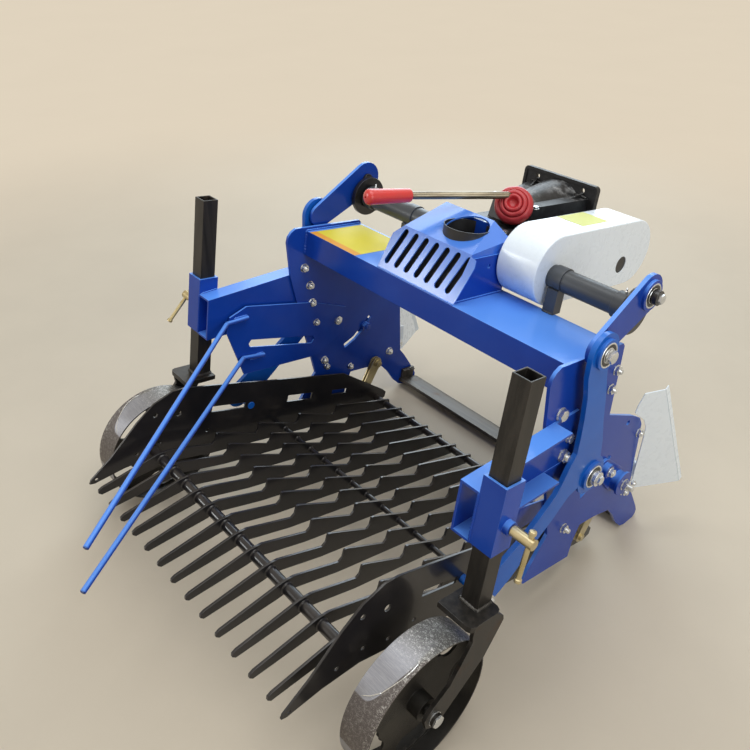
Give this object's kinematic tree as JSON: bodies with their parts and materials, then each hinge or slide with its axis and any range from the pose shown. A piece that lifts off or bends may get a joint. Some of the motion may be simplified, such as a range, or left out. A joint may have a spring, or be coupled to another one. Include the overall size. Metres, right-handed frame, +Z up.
{
  "type": "potato digger",
  "caption": "Walk-behind tractor potato digger with a digging blade, shaking bar sieve on rocker arms, belt-guarded gearbox drive and height-adjustable steel gauge wheels.",
  "frame": {"origin": "centre of the overall box on the floor, as the machine is parked on its gauge wheels and its blade", "axes": "+Y forward to the hitch flange, +X to the right seen from behind, +Z up"},
  "size_m": [1.158, 1.4678, 0.8522],
  "materials": {
    "blue_paint": "gloss paint",
    "black_paint": "gloss paint",
    "white_paint": "gloss paint",
    "raw_steel": "dark mill scale",
    "zinc": "yellow zinc",
    "shaft_steel": "machined",
    "wheel_steel": "worn and rusty",
    "cast_black": "painted casting",
    "red_rubber": "satin",
    "red_plastic": "gloss"
  },
  "bodies": {
    "frame": {"cross_beam": "blue_paint", "side_plate_left": "blue_paint", "side_plate_right": "blue_paint", "rear_panel_left": "blue_paint", "rear_panel_right": "blue_paint", "wheel_arm_left": "blue_paint", "wheel_arm_right": "blue_paint", "post_socket_left": "blue_paint", "post_socket_right": "blue_paint", "clamp_screw_left": "zinc", "clamp_screw_right": "zinc", "digging_blade": "raw_steel", "shield_left": "white_paint", "shield_right": "white_paint", "adjuster_left": "blue_paint", "adjuster_right": "blue_paint", "guide_rods": "blue_paint", "gearbox_housing": "cast_black", "hitch_flange": "cast_black", "gearbox_hood": "blue_paint", "hood_bracket": "blue_paint", "belt_guard": "white_paint", "lever_boot": "red_rubber", "lever_rod": "shaft_steel", "lever_grip": "red_plastic", "shaft_housing": "black_paint", "rocker_pivots": "zinc", "hanger_pivots": "zinc"},
    "eccentric": {"eccentric_shaft": "shaft_steel", "crank_discs": "black_paint"},
    "conrod_left": {"conrod_left": "blue_paint"},
    "conrod_right": {"conrod_right": "blue_paint"},
    "rocker_left": {"rocker_left": "blue_paint"},
    "rocker_right": {"rocker_right": "blue_paint"},
    "sieve": {"sieve_bars": "black_paint", "sieve_sides": "black_paint", "sieve_rods": "black_paint"},
    "hanger_left": {"hanger_left": "zinc"},
    "hanger_right": {"hanger_right": "zinc"},
    "post_left": {"post_left": "raw_steel", "wheel_fork_left": "raw_steel"},
    "post_right": {"post_right": "raw_steel", "wheel_fork_right": "raw_steel"},
    "wheel_left": {"wheel_left": "wheel_steel"},
    "wheel_right": {"wheel_right": "wheel_steel"}
  },
  "joints": [
    {"name": "eccentric_spin", "type": "hinge", "parent": "frame", "child": "eccentric", "pos_m": [0, 0.32666, 0.69682], "axis": [1, 0, 0], "continuous": true},
    {"name": "conrod_left_pivot", "type": "hinge", "parent": "eccentric", "child": "conrod_left", "pos_m": [-0.4335, 0.3337, 0.74126], "axis": [1, 0, 0], "continuous": true},
    {"name": "conrod_right_pivot", "type": "hinge", "parent": "eccentric", "child": "conrod_right", "pos_m": [0.4335, 0.3337, 0.74126], "axis": [1, 0, 0], "continuous": true},
    {"name": "rocker_right_swing", "type": "hinge", "parent": "frame", "child": "rocker_right", "pos_m": [0.4485, 0.21009, 0.35079], "axis": [1, 0, 0], "range_deg": [-4.6, 11.3]},
    {"name": "rocker_left_swing", "type": "hinge", "parent": "frame", "child": "rocker_left", "pos_m": [-0.4485, 0.21009, 0.35079], "axis": [1, 0, 0], "range_deg": [-4.6, 11.3]},
    {"name": "sieve_pivot", "type": "hinge", "parent": "rocker_right", "child": "sieve", "pos_m": [0.4485, -0.11172, 0.21749], "axis": [1, 0, 0], "range_deg": [-5.8, 2.4]},
    {"name": "hanger_left_swing", "type": "hinge", "parent": "frame", "child": "hanger_left", "pos_m": [-0.401, 0.35213, 0.14807], "axis": [1, 0, 0], "range_deg": [-12.2, 29.6]},
    {"name": "hanger_right_swing", "type": "hinge", "parent": "frame", "child": "hanger_right", "pos_m": [0.401, 0.35213, 0.14807], "axis": [1, 0, 0], "range_deg": [-12.2, 29.6]},
    {"name": "post_left_slide", "type": "slide", "parent": "frame", "child": "post_left", "axis": [0, 0.1564, 0.9877], "range_m": [-0.12, 0.09]},
    {"name": "post_right_slide", "type": "slide", "parent": "frame", "child": "post_right", "axis": [0, 0.1564, 0.9877], "range_m": [-0.12, 0.09]},
    {"name": "wheel_left_spin", "type": "hinge", "parent": "post_left", "child": "wheel_left", "pos_m": [-0.487, -0.33705, 0.15001], "axis": [1, 0, 0], "continuous": true},
    {"name": "wheel_right_spin", "type": "hinge", "parent": "post_right", "child": "wheel_right", "pos_m": [0.487, -0.33705, 0.15001], "axis": [1, 0, 0], "continuous": true}
  ],
  "couplings": [
    {"joint": "conrod_left_pivot", "follows": "eccentric_spin", "ratio": -1},
    {"joint": "conrod_right_pivot", "follows": "eccentric_spin", "ratio": -1},
    {"joint": "rocker_left_swing", "follows": "rocker_right_swing", "ratio": 1},
    {"joint": "sieve_pivot", "follows": "rocker_right_swing", "ratio": -0.5},
    {"joint": "hanger_left_swing", "follows": "rocker_right_swing", "ratio": 2.6},
    {"joint": "hanger_right_swing", "follows": "rocker_right_swing", "ratio": 2.6}
  ]
}
